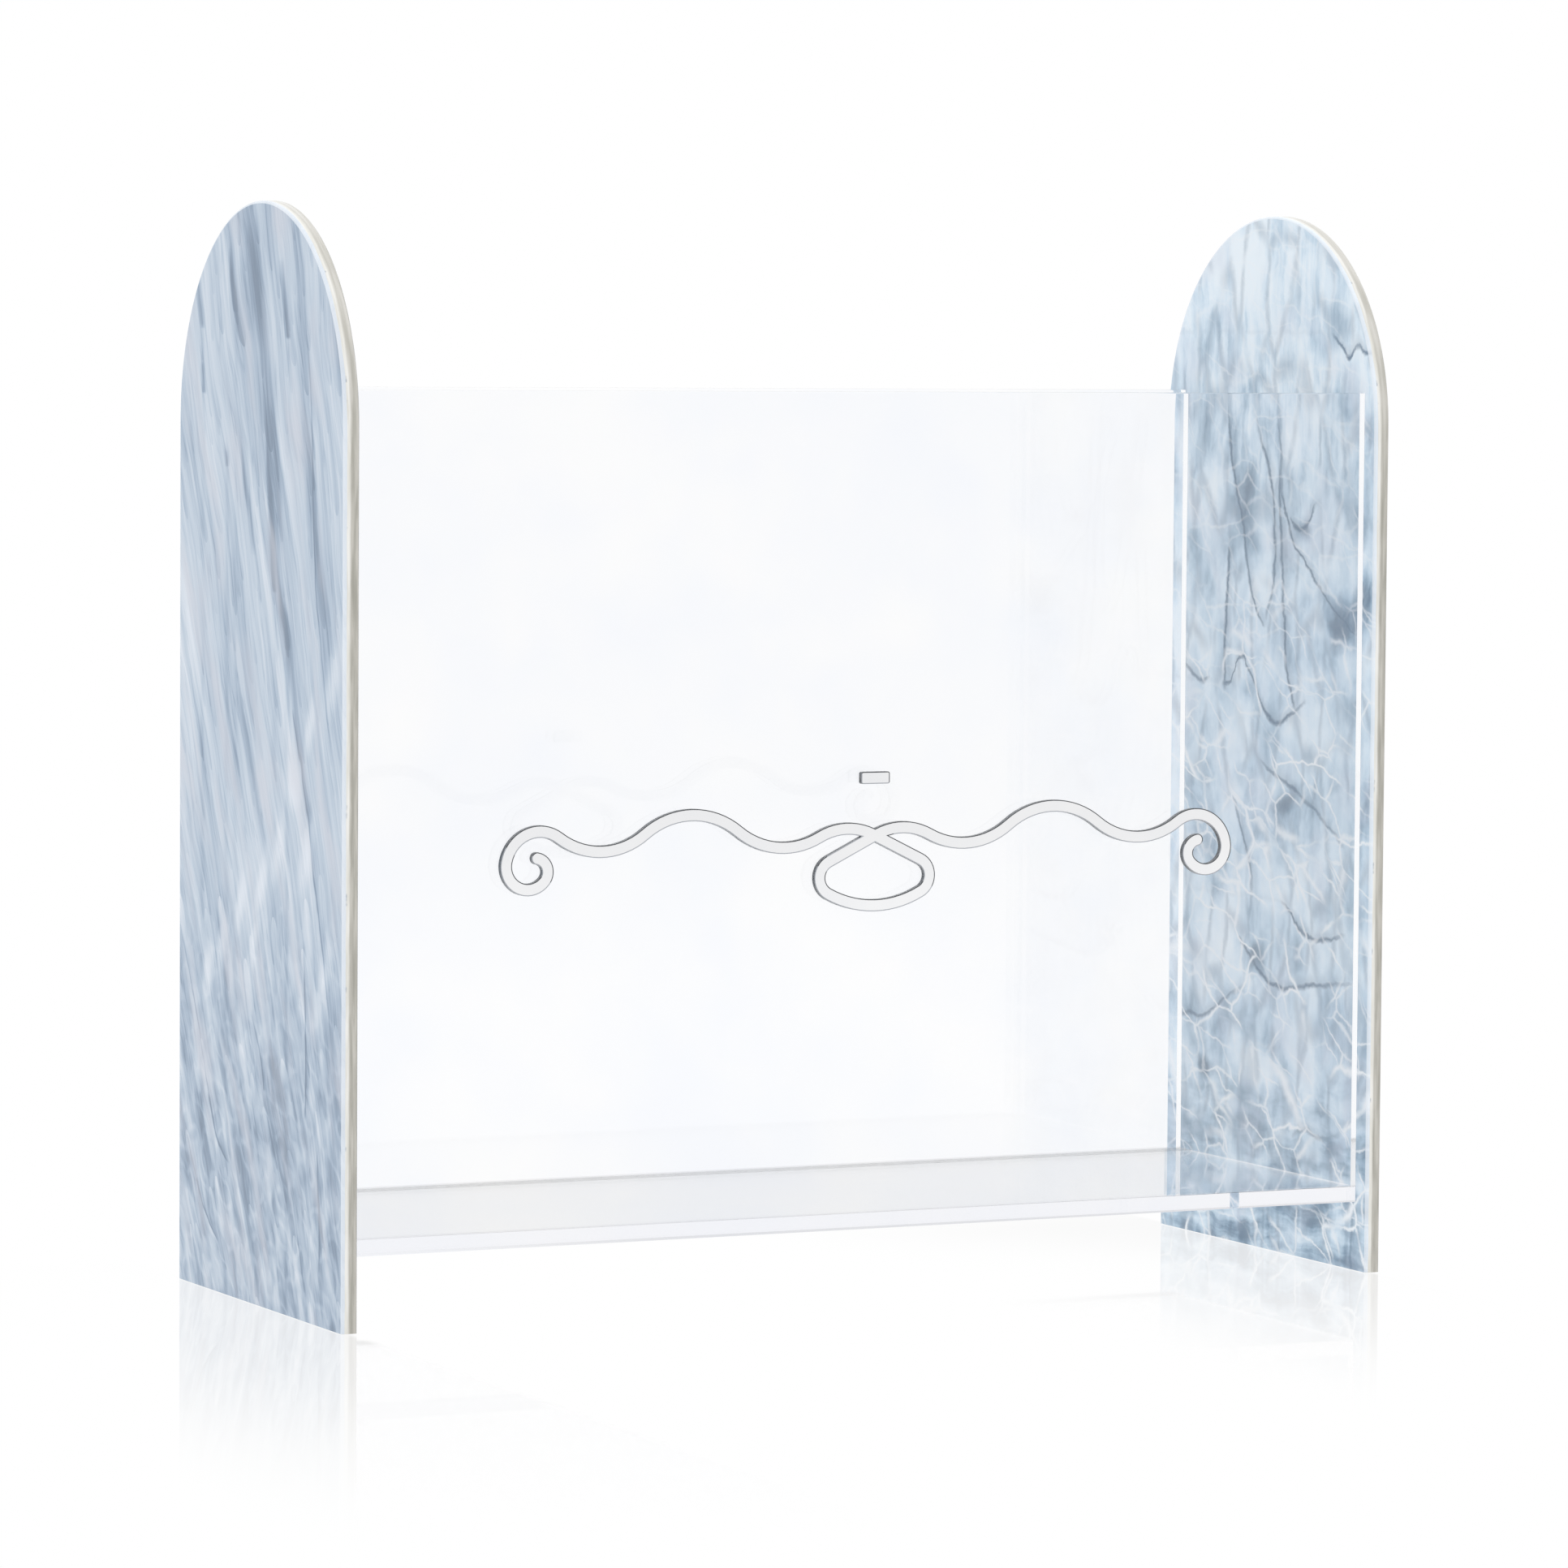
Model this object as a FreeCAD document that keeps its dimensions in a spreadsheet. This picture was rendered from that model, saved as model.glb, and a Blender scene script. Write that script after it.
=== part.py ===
"""Magazine rack: a clear acrylic tray bonded between two arched marble-effect acrylic side panels.

Frame, in millimetres: +X along the rack from the left side panel to the right one, +Y from the
front to the back, +Z up. The origin is on the surface that the rack stands on, under its middle.
Every sheet has the same thickness. The floor panel runs the tray's whole depth, and the front and
back panels stand on it. A mirror ornament in two pieces is bonded to the front panel's outer face.
"""
import FreeCAD
import Part
import Sketcher
import math
import os

from FreeCAD import Rotation, Vector

# Driving dimensions: alias in the sheet, value in mm, what it is.
DIMENSIONS = [
    ("sheet_thickness", 6.0, "thickness of all five acrylic sheets"),
    ("inner_length", 410.0, "clear length between the two side panels"),
    ("side_width", 160.0, "depth of a side panel, and twice the radius of its arched top"),
    ("side_height", 398.0, "height of a side panel to the top of its arch"),
    ("side_edge_radius", 1.0, "polished round along a side panel's upright and arched edges"),
    ("tray_depth", 144.0, "tray over the outer faces of its front and back panels"),
    ("tray_lift", 26.0, "underside of the floor panel above the standing surface"),
    ("wall_height", 299.0, "front and back panels above the floor panel"),
    ("clear_edge_ease", 0.4, "small chamfer along the exposed long edges of the clear panels"),
    ("mirror_thickness", 2.0, "thickness of the mirror ornament"),
    ("stroke_width", 4.4, "width of the ornament's line"),
    ("loop_base_height", 144.5, "middle of the ornament's line at the lowest point of its loop"),
    ("bar_length", 11.5, "length of the separate mirror bar"),
    ("bar_height", 191.0, "middle of the mirror bar above the standing surface"),
    ("bar_corner_radius", 0.8, "rounded corners of the mirror bar"),
]

# The ornament's line, from the lowest point of its loop out to the curled end, as bends that are
# tangent to one another: radius in mm, and turn in degrees, positive to the left.
LOOP_BENDS = [(40.0, 28.0), (6.6, 126.0)]
LOOP_NECK_LENGTH = 21.3
WAVE_BENDS = [(24.0, 54.0), (30.0, -66.0), (30.0, 76.0), (28.0, -74.0)]
CURL_BENDS = [(13.0, 116.0), (8.5, 150.0), (5.0, 120.0)]

# Ends of a sketch line or arc, and an arc's centre, as the sketcher numbers them.
START, END, CENTRE = 1, 2, 3
# The sketcher's own origin point and vertical axis.
ROOT_POINT = (-1, 1)
VERTICAL_AXIS = -2

TOLERANCE = 1e-6


def make_sheet(doc):
    """The spreadsheet that holds every driving dimension."""
    sheet = doc.addObject("Spreadsheet::Sheet", "Dimensions")
    rows = list(DIMENSIONS)
    rows.append(("loop_neck_length", LOOP_NECK_LENGTH, "straight run of the ornament's line"))
    for index, (radius, turn) in enumerate(LOOP_BENDS + WAVE_BENDS + CURL_BENDS):
        rows.append((f"bend_{index}_radius", radius, "radius of one bend of the ornament's line"))
        rows.append((f"bend_{index}_turn", abs(turn), "how far that bend turns, in degrees"))
    for row, (alias, value, note) in enumerate(rows, start=1):
        sheet.set(f"A{row}", note)
        sheet.set(f"B{row}", str(value))
        sheet.setAlias(f"B{row}", alias)
    doc.recompute()
    return sheet


def origin_plane(body, role):
    """One of a body's own origin planes, such as XY_Plane."""
    return next(feature for feature in body.Origin.OriginFeatures if feature.Role == role)


def bind(sketch, constraint, expression):
    """Add a constraint to a sketch and bind its value to the sheet."""
    number = sketch.addConstraint(constraint)
    sketch.setExpression(f"Constraints[{number}]", expression)


def body_sketch(doc, body, role):
    """An empty sketch on one of a body's origin planes."""
    sketch = body.newObject("Sketcher::SketchObject", body.Name + "_outline")
    sketch.AttachmentSupport = (origin_plane(body, role), [""])
    sketch.MapMode = "FlatFace"
    doc.recompute()
    return sketch


def draw_rectangle(sketch, width, height):
    """A rectangle centred on the sketch's origin, with its two sizes bound to the sheet."""
    sheet = sketch.Document.Dimensions
    half_width = sheet.get(width) / 2
    half_height = sheet.get(height) / 2
    corners = [
        Vector(-half_width, -half_height, 0),
        Vector(half_width, -half_height, 0),
        Vector(half_width, half_height, 0),
        Vector(-half_width, half_height, 0),
    ]
    lines = []
    for index, corner in enumerate(corners):
        lines.append(sketch.addGeometry(Part.LineSegment(corner, corners[(index + 1) % 4])))
    bottom, right, top, left = lines
    for index, line in enumerate(lines):
        sketch.addConstraint(Sketcher.Constraint("Coincident", line, END, lines[(index + 1) % 4], START))
    for line in (bottom, top):
        sketch.addConstraint(Sketcher.Constraint("Horizontal", line))
    for line in (right, left):
        sketch.addConstraint(Sketcher.Constraint("Vertical", line))
    sketch.addConstraint(Sketcher.Constraint("Symmetric", bottom, START, top, START, *ROOT_POINT))
    bind(sketch, Sketcher.Constraint("DistanceX", bottom, START, bottom, END, 2 * half_width),
         f"Dimensions.{width}")
    bind(sketch, Sketcher.Constraint("DistanceY", right, START, right, END, 2 * half_height),
         f"Dimensions.{height}")


def draw_arch(sketch, width, height):
    """An upright with a full half-round top, standing on the sketch's horizontal axis."""
    sheet = sketch.Document.Dimensions
    radius = sheet.get(width) / 2
    straight = sheet.get(height) - radius
    left_foot = Vector(-radius, 0, 0)
    right_foot = Vector(radius, 0, 0)
    spring = Vector(0, straight, 0)
    foot = sketch.addGeometry(Part.LineSegment(left_foot, right_foot))
    right = sketch.addGeometry(Part.LineSegment(right_foot, right_foot + spring))
    crown = sketch.addGeometry(Part.ArcOfCircle(Part.Circle(spring, Vector(0, 0, 1), radius), 0, math.pi))
    left = sketch.addGeometry(Part.LineSegment(left_foot + spring, left_foot))
    sketch.addConstraint(Sketcher.Constraint("Coincident", foot, END, right, START))
    sketch.addConstraint(Sketcher.Constraint("Tangent", right, END, crown, START))
    sketch.addConstraint(Sketcher.Constraint("Tangent", crown, END, left, START))
    sketch.addConstraint(Sketcher.Constraint("Coincident", left, END, foot, START))
    sketch.addConstraint(Sketcher.Constraint("Vertical", right))
    sketch.addConstraint(Sketcher.Constraint("Symmetric", foot, START, foot, END, *ROOT_POINT))
    bind(sketch, Sketcher.Constraint("DistanceX", foot, START, foot, END, 2 * radius),
         f"Dimensions.{width}")
    bind(sketch, Sketcher.Constraint("DistanceY", right, START, right, END, straight),
         f"Dimensions.{height} - Dimensions.{width} / 2")


def add_sheet_body(doc, label, role, draw, thickness):
    """A body for one flat sheet: an outline drawn on an origin plane and padded."""
    body = doc.addObject("PartDesign::Body", label)
    body.Label = label
    sketch = body_sketch(doc, body, role)
    draw(sketch)
    pad = body.newObject("PartDesign::Pad", label + "_pad")
    pad.Profile = sketch
    pad.setExpression("Length", thickness)
    doc.recompute()
    return body, pad


def dress_edges(doc, body, pad, kind, size_name, size, wanted):
    """Round or chamfer the pad's edges that the wanted test picks."""
    names = [f"Edge{i}" for i, edge in enumerate(pad.Shape.Edges, start=1) if wanted(edge)]
    dressed = body.newObject("PartDesign::" + kind, f"{body.Name}_{kind.lower()}")
    dressed.Base = (pad, names)
    dressed.setExpression(size_name, size)
    doc.recompute()


def set_place(body, axis, expression):
    """Bind one coordinate of a body's place to the sheet."""
    body.setExpression(f".Placement.Base.{axis}", expression)


def runs_along(edge, direction):
    """Whether an edge is straight and parallel to a direction."""
    if not isinstance(edge.Curve, Part.Line):
        return False
    return abs(abs(edge.Curve.Direction.dot(direction)) - 1) < TOLERANCE


def add_side_panel(doc, label, inner_face_sign):
    """An arched side panel. inner_face_sign is -1 for the left panel and 1 for the right one."""
    def draw(sketch):
        draw_arch(sketch, "side_width", "side_height")

    body, pad = add_sheet_body(doc, label, "YZ_Plane", draw, "Dimensions.sheet_thickness")

    def on_a_face_and_off_the_ground(edge):
        crosses_the_sheet = runs_along(edge, Vector(1, 0, 0))
        return not crosses_the_sheet and edge.BoundBox.ZMax > TOLERANCE

    dress_edges(doc, body, pad, "Fillet", "Radius", "Dimensions.side_edge_radius",
                on_a_face_and_off_the_ground)
    if inner_face_sign < 0:
        set_place(body, "x", "-Dimensions.inner_length / 2 - Dimensions.sheet_thickness")
    else:
        set_place(body, "x", "Dimensions.inner_length / 2")
    return body


def add_floor_panel(doc):
    """The tray's floor, between the side panels."""
    def draw(sketch):
        draw_rectangle(sketch, "inner_length", "tray_depth")

    body, pad = add_sheet_body(doc, "floor_panel", "XY_Plane", draw, "Dimensions.sheet_thickness")

    def long_lower_edge(edge):
        return runs_along(edge, Vector(1, 0, 0)) and edge.BoundBox.ZMax < TOLERANCE

    dress_edges(doc, body, pad, "Chamfer", "Size", "Dimensions.clear_edge_ease", long_lower_edge)
    set_place(body, "z", "Dimensions.tray_lift")
    return body


def add_wall_panel(doc, label, front_face):
    """The front or back panel. front_face is the Y of its front face, as an expression."""
    def draw(sketch):
        draw_rectangle(sketch, "inner_length", "wall_height")

    body, pad = add_sheet_body(doc, label, "XZ_Plane", draw, "Dimensions.sheet_thickness")
    top = pad.Shape.BoundBox.ZMax

    def long_upper_edge(edge):
        return runs_along(edge, Vector(1, 0, 0)) and edge.BoundBox.ZMin > top - TOLERANCE

    dress_edges(doc, body, pad, "Chamfer", "Size", "Dimensions.clear_edge_ease", long_upper_edge)
    # The pad grows from the outline's plane towards -Y, so the plane is the panel's back face.
    set_place(body, "y", f"{front_face} + Dimensions.sheet_thickness")
    set_place(body, "z", "Dimensions.tray_lift + Dimensions.sheet_thickness + Dimensions.wall_height / 2")
    return body


def draw_bend(sketch, point, heading, radius, turn):
    """Add one arc that leaves a point along a heading. Returns its number and both its ends,
    in the order of travel, with the point and heading where it stops."""
    side = 1 if turn > 0 else -1
    to_centre = Vector(-side * math.sin(heading), side * math.cos(heading), 0)
    centre = point + to_centre * radius
    first = math.atan2(-to_centre.y, -to_centre.x)
    last = first + math.radians(turn)
    circle = Part.Circle(centre, Vector(0, 0, 1), radius)
    number = sketch.addGeometry(Part.ArcOfCircle(circle, min(first, last), max(first, last)))
    stop = centre + Vector(math.cos(last), math.sin(last), 0) * radius
    ends = (START, END) if side > 0 else (END, START)
    return number, ends, stop, heading + math.radians(turn)


def draw_half_flourish(sketch):
    """The middle of the ornament's line, from its loop's lowest point to its curled end."""
    start_height = sketch.Document.Dimensions.get("loop_base_height")
    point = Vector(0, start_height, 0)
    heading = 0.0
    chain = []
    bends = LOOP_BENDS + WAVE_BENDS + CURL_BENDS
    for index, (radius, turn) in enumerate(bends):
        number, ends, point, heading = draw_bend(sketch, point, heading, radius, turn)
        bind(sketch, Sketcher.Constraint("Radius", number, radius), f"Dimensions.bend_{index}_radius")
        bind(sketch, Sketcher.Constraint("Angle", number, math.radians(abs(turn))),
             f"Dimensions.bend_{index}_turn * 1 deg")
        chain.append((number, ends))
        if index == len(LOOP_BENDS) - 1:
            step = Vector(math.cos(heading), math.sin(heading), 0) * LOOP_NECK_LENGTH
            neck = sketch.addGeometry(Part.LineSegment(point, point + step))
            bind(sketch, Sketcher.Constraint("Distance", neck, LOOP_NECK_LENGTH),
                 "Dimensions.loop_neck_length")
            chain.append((neck, (START, END)))
            point = point + step
    for (number, ends), (following, following_ends) in zip(chain, chain[1:]):
        sketch.addConstraint(
            Sketcher.Constraint("Tangent", number, ends[1], following, following_ends[0]))
    base = chain[0][0]
    sketch.addConstraint(Sketcher.Constraint("PointOnObject", base, START, VERTICAL_AXIS))
    sketch.addConstraint(Sketcher.Constraint("PointOnObject", base, CENTRE, VERTICAL_AXIS))
    bind(sketch, Sketcher.Constraint("DistanceY", *ROOT_POINT, base, START, start_height),
         "Dimensions.loop_base_height")


def add_flourish(doc):
    """The mirror ornament: a line of constant width that loops once under its own middle, with a
    wave and a curled end each side. Half of it is drawn and mirrored, and the halves cross."""
    line = doc.addObject("Sketcher::SketchObject", "flourish_line")
    line.Placement.Rotation = Rotation(Vector(1, 0, 0), 90)
    line.setExpression(".Placement.Base.y", "-Dimensions.tray_depth / 2")
    draw_half_flourish(line)
    doc.recompute()
    stroke = doc.addObject("Part::Offset2D", "flourish_stroke")
    stroke.Source = line
    stroke.Fill = True
    stroke.setExpression("Value", "Dimensions.stroke_width / 2")
    half = doc.addObject("Part::Extrusion", "flourish_half")
    half.Base = stroke
    half.DirMode = "Custom"
    half.Dir = Vector(0, -1, 0)
    half.setExpression("LengthFwd", "Dimensions.mirror_thickness")
    half.Solid = True
    other_half = doc.addObject("Part::Mirroring", "flourish_other_half")
    other_half.Source = half
    other_half.Normal = Vector(1, 0, 0)
    whole = doc.addObject("Part::MultiFuse", "mirror_flourish")
    whole.Label = "mirror_flourish"
    whole.Shapes = [half, other_half]
    whole.Refine = True
    doc.recompute()
    return whole


def add_mirror_bar(doc):
    """The small separate bar of mirror sheet above the ornament."""
    def draw(sketch):
        draw_rectangle(sketch, "bar_length", "stroke_width")

    body, pad = add_sheet_body(doc, "mirror_bar", "XZ_Plane", draw, "Dimensions.mirror_thickness")

    def corner_edge(edge):
        return runs_along(edge, Vector(0, 1, 0))

    dress_edges(doc, body, pad, "Fillet", "Radius", "Dimensions.bar_corner_radius", corner_edge)
    set_place(body, "y", "-Dimensions.tray_depth / 2")
    set_place(body, "z", "Dimensions.bar_height")
    return body


def check(doc, pieces):
    """Stop if any object failed to recompute, or a piece isn't one valid solid."""
    for item in doc.Objects:
        if "Invalid" in item.State or "Error" in item.State:
            raise RuntimeError(f"{item.Label} failed to recompute: {item.State}")
    for piece in pieces:
        shape = piece.Shape
        if shape.isNull() or not shape.isValid() or len(shape.Solids) != 1:
            raise RuntimeError(f"{piece.Label} isn't one valid solid")


def main():
    doc = FreeCAD.newDocument("magazine_rack")
    make_sheet(doc)
    pieces = [
        add_side_panel(doc, "left_side_panel", -1),
        add_side_panel(doc, "right_side_panel", 1),
        add_floor_panel(doc),
        add_wall_panel(doc, "front_panel", "-Dimensions.tray_depth / 2"),
        add_wall_panel(doc, "back_panel", "Dimensions.tray_depth / 2 - Dimensions.sheet_thickness"),
        add_flourish(doc),
        add_mirror_bar(doc),
    ]
    doc.recompute()
    check(doc, pieces)
    os.makedirs("parts", exist_ok=True)
    for piece in pieces:
        piece.Shape.exportStep(f"parts/{piece.Label}.step")
        box = piece.Shape.optimalBoundingBox()
        print(f"{piece.Label}: X {box.XMin:.2f} to {box.XMax:.2f}, Y {box.YMin:.2f} to {box.YMax:.2f}, "
              f"Z {box.ZMin:.2f} to {box.ZMax:.2f} mm, volume {piece.Shape.Volume:.1f} mm3")


main()
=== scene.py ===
"""Magazine rack: two arched sides of marble acrylic, a clear acrylic tray between them, and a
mirror acrylic ornament on the tray's front. Metres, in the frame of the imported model."""

import math

import bmesh
import bpy
from mathutils import Matrix, Vector


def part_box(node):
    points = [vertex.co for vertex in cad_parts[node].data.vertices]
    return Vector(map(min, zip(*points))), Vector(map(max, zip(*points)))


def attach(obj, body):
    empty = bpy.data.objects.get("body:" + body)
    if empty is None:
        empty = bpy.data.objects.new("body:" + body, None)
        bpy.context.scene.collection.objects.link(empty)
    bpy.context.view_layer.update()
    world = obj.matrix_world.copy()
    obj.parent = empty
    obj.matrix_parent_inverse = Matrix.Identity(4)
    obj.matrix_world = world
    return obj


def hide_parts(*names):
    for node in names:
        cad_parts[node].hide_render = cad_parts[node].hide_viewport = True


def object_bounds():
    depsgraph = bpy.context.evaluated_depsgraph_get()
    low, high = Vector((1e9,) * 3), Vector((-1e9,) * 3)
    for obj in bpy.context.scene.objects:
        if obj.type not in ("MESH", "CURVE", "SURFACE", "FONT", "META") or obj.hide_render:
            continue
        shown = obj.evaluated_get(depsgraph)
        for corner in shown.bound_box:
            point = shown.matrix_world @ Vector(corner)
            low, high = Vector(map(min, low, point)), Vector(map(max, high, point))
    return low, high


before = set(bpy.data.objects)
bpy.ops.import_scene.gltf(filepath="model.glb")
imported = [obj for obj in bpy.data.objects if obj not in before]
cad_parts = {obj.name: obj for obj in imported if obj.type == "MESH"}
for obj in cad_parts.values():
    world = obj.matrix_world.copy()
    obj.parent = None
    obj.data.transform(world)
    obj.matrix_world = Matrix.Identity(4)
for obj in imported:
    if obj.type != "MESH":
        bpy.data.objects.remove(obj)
cad_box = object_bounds()

# ---------------------------------------------------------------- sizes, in metres

MM = 0.001
ARCH_STEPS = 96
SIDE_EDGE_ROUND = 1.0 * MM
CLEAR_EDGE_EASE = 0.4 * MM
# The width of the painted reflection line round a mirror cutting's face.
PAINTED_RIM_WIDTH = 0.35 * MM
# Faces that meet at less than this are shaded as one smooth surface.
CREASE = math.radians(40)
# Two coordinates nearer than this are the same place.
TOUCHING = 0.001 * MM
# The marble and the clear sheets are cast acrylic.
ACRYLIC_IOR = 1.49
# Millimetres from the top of the arch to just past the foot, which a drawn line's curves cover.
SHEET_SPAN = 400.0
# The tray's ends stand this far off the marble, so that light inside the clear sheets turns back at them.
END_GAP = 0.05 * MM
# The walls reach this far into the floor sheet, so that the cemented joint reads as one piece of acrylic.
CEMENT_OVERLAP = 0.03 * MM


# ---------------------------------------------------------------- helpers


def colour(code):
    """A hex sRGB colour as the linear values that a node takes."""
    channels = []
    for start in (1, 3, 5):
        value = int(code[start : start + 2], 16) / 255
        if value <= 0.04045:
            channels.append(value / 12.92)
        else:
            channels.append(((value + 0.055) / 1.055) ** 2.4)
    return (*channels, 1.0)


def add(tree, kind, inputs=None, **settings):
    """Adds a node with its settings, and links or fills the inputs named by name or number."""
    node = tree.nodes.new(kind)
    for name, value in settings.items():
        setattr(node, name, value)
    for name, value in (inputs or {}).items():
        if isinstance(value, bpy.types.NodeSocket):
            tree.links.new(value, node.inputs[name])
        else:
            node.inputs[name].default_value = value
    return node


def new_material(name):
    """An empty node material and its tree."""
    material = bpy.data.materials.new(name)
    material.use_nodes = True
    material.node_tree.nodes.clear()
    return material, material.node_tree


def finish_material(tree, surface, body=None):
    """Ends a material in its output node, with what fills the body if it isn't empty."""
    ends = {"Surface": surface.outputs[0]}
    if body:
        ends["Volume"] = body.outputs[0]
    add(tree, "ShaderNodeOutputMaterial", ends)


def set_ramp(ramp, stops):
    """Gives a colour ramp its stops, each a place from 0 to 1 and a hex colour."""
    elements = ramp.color_ramp.elements
    while len(elements) < len(stops):
        elements.new(0.5)
    for element, (place, code) in zip(elements, stops):
        element.position = place
        element.color = colour(code)


# ---------------------------------------------------------------- marble patterns
# Both patterns are drawn in millimetres on the sheet: "across" runs from the back edge to the
# front edge, 0 to 160, and "down" from the top of the arch to the foot, 0 to 398.


def sheet_place(tree):
    """The millimetres across and down the sheet, and the depth in millimetres along x."""
    side_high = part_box("left_side_panel")[1]
    place = add(tree, "ShaderNodeTexCoord").outputs["Object"]
    split = add(tree, "ShaderNodeSeparateXYZ", {0: place})
    back_edge = side_high.y / MM
    top = side_high.z / MM
    across = add(
        tree,
        "ShaderNodeMath",
        {0: split.outputs[1], 1: -1 / MM, 2: back_edge},
        operation="MULTIPLY_ADD",
    )
    down = add(tree, "ShaderNodeMath", {0: split.outputs[2], 1: -1 / MM, 2: top}, operation="MULTIPLY_ADD")
    depth = add(tree, "ShaderNodeMath", {0: split.outputs[0], 1: 1 / MM}, operation="MULTIPLY")
    return across.outputs[0], down.outputs[0], depth.outputs[0]


def grain(tree, across, down, width, length, seed, detail=3.0, roughness=0.55):
    """Noise whose grain is so many millimetres wide and long."""
    u = add(tree, "ShaderNodeMath", {0: across, 1: 1 / width}, operation="MULTIPLY")
    v = add(tree, "ShaderNodeMath", {0: down, 1: 1 / length}, operation="MULTIPLY")
    place = add(tree, "ShaderNodeCombineXYZ", {0: u.outputs[0], 1: v.outputs[0], 2: seed})
    noise = add(
        tree,
        "ShaderNodeTexNoise",
        {"Vector": place.outputs[0], "Scale": 1.0, "Detail": detail, "Roughness": roughness},
    )
    return noise.outputs[0]


def cell_gap(tree, across, down, width, height, seed):
    """How far a point is from its cell's border, in cells so many millimetres wide and high. 1 is a
    whole cell."""
    u = add(tree, "ShaderNodeMath", {0: across, 1: 1 / width}, operation="MULTIPLY")
    v = add(tree, "ShaderNodeMath", {0: down, 1: 1 / height}, operation="MULTIPLY")
    place = add(tree, "ShaderNodeCombineXYZ", {0: u.outputs[0], 1: v.outputs[0], 2: seed})
    cells = add(
        tree,
        "ShaderNodeTexVoronoi",
        {"Vector": place.outputs[0], "Scale": 1.0},
        feature="DISTANCE_TO_EDGE",
    )
    return cells.outputs["Distance"]


def swayed(tree, line, sway, amount):
    """A coordinate pushed to and fro by a noise, by up to half this many millimetres."""
    shift = add(tree, "ShaderNodeMath", {0: sway, 1: amount, 2: -amount / 2}, operation="MULTIPLY_ADD")
    return add(tree, "ShaderNodeMath", {0: line, 1: shift.outputs[0]}, operation="ADD").outputs[0]


def span(tree, value, low, high, out_low=0.0, out_high=1.0):
    """A value eased from one range to another."""
    return add(
        tree,
        "ShaderNodeMapRange",
        {0: value, 1: low, 2: high, 3: out_low, 4: out_high},
        interpolation_type="SMOOTHSTEP",
    ).outputs[0]


def drips(tree, across, down, width, length, seed):
    """Runs of colour that darken downwards and stop in a blunt round end, each in its own lane."""
    lane = add(tree, "ShaderNodeMath", {0: across, 1: 1 / width}, operation="MULTIPLY").outputs[0]
    number = add(tree, "ShaderNodeMath", {0: lane}, operation="FLOOR").outputs[0]
    within = add(tree, "ShaderNodeMath", {0: lane}, operation="FRACT").outputs[0]
    centred = add(tree, "ShaderNodeMath", {0: within, 1: 2.0, 2: -1.0}, operation="MULTIPLY_ADD").outputs[0]
    bow = add(tree, "ShaderNodeMath", {0: centred, 1: centred}, operation="MULTIPLY").outputs[0]
    key = add(tree, "ShaderNodeMath", {0: number, 1: seed}, operation="ADD").outputs[0]
    start = add(tree, "ShaderNodeTexWhiteNoise", {"W": key}, noise_dimensions="1D").outputs[0]
    bow_size = 0.9 * width / length
    run = add(
        tree,
        "ShaderNodeMath",
        {0: down, 1: 1 / length, 2: start},
        operation="MULTIPLY_ADD",
    ).outputs[0]
    run = add(tree, "ShaderNodeMath", {0: bow, 1: bow_size, 2: run}, operation="MULTIPLY_ADD").outputs[0]
    turn = add(tree, "ShaderNodeMath", {0: run}, operation="FLOOR").outputs[0]
    fall = add(tree, "ShaderNodeMath", {0: run}, operation="FRACT").outputs[0]
    fall = add(tree, "ShaderNodeMath", {0: fall, 1: 2.2}, operation="POWER").outputs[0]
    cell = add(tree, "ShaderNodeCombineXYZ", {0: number, 1: turn, 2: seed}).outputs[0]
    chance = add(tree, "ShaderNodeTexWhiteNoise", {"Vector": cell}, noise_dimensions="3D").outputs[0]
    side = add(tree, "ShaderNodeMath", {0: bow, 1: -1.0, 2: 1.0}, operation="MULTIPLY_ADD").outputs[0]
    dark = add(tree, "ShaderNodeMath", {0: fall, 1: side}, operation="MULTIPLY").outputs[0]
    return add(tree, "ShaderNodeMath", {0: dark, 1: chance}, operation="MULTIPLY").outputs[0]


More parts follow.
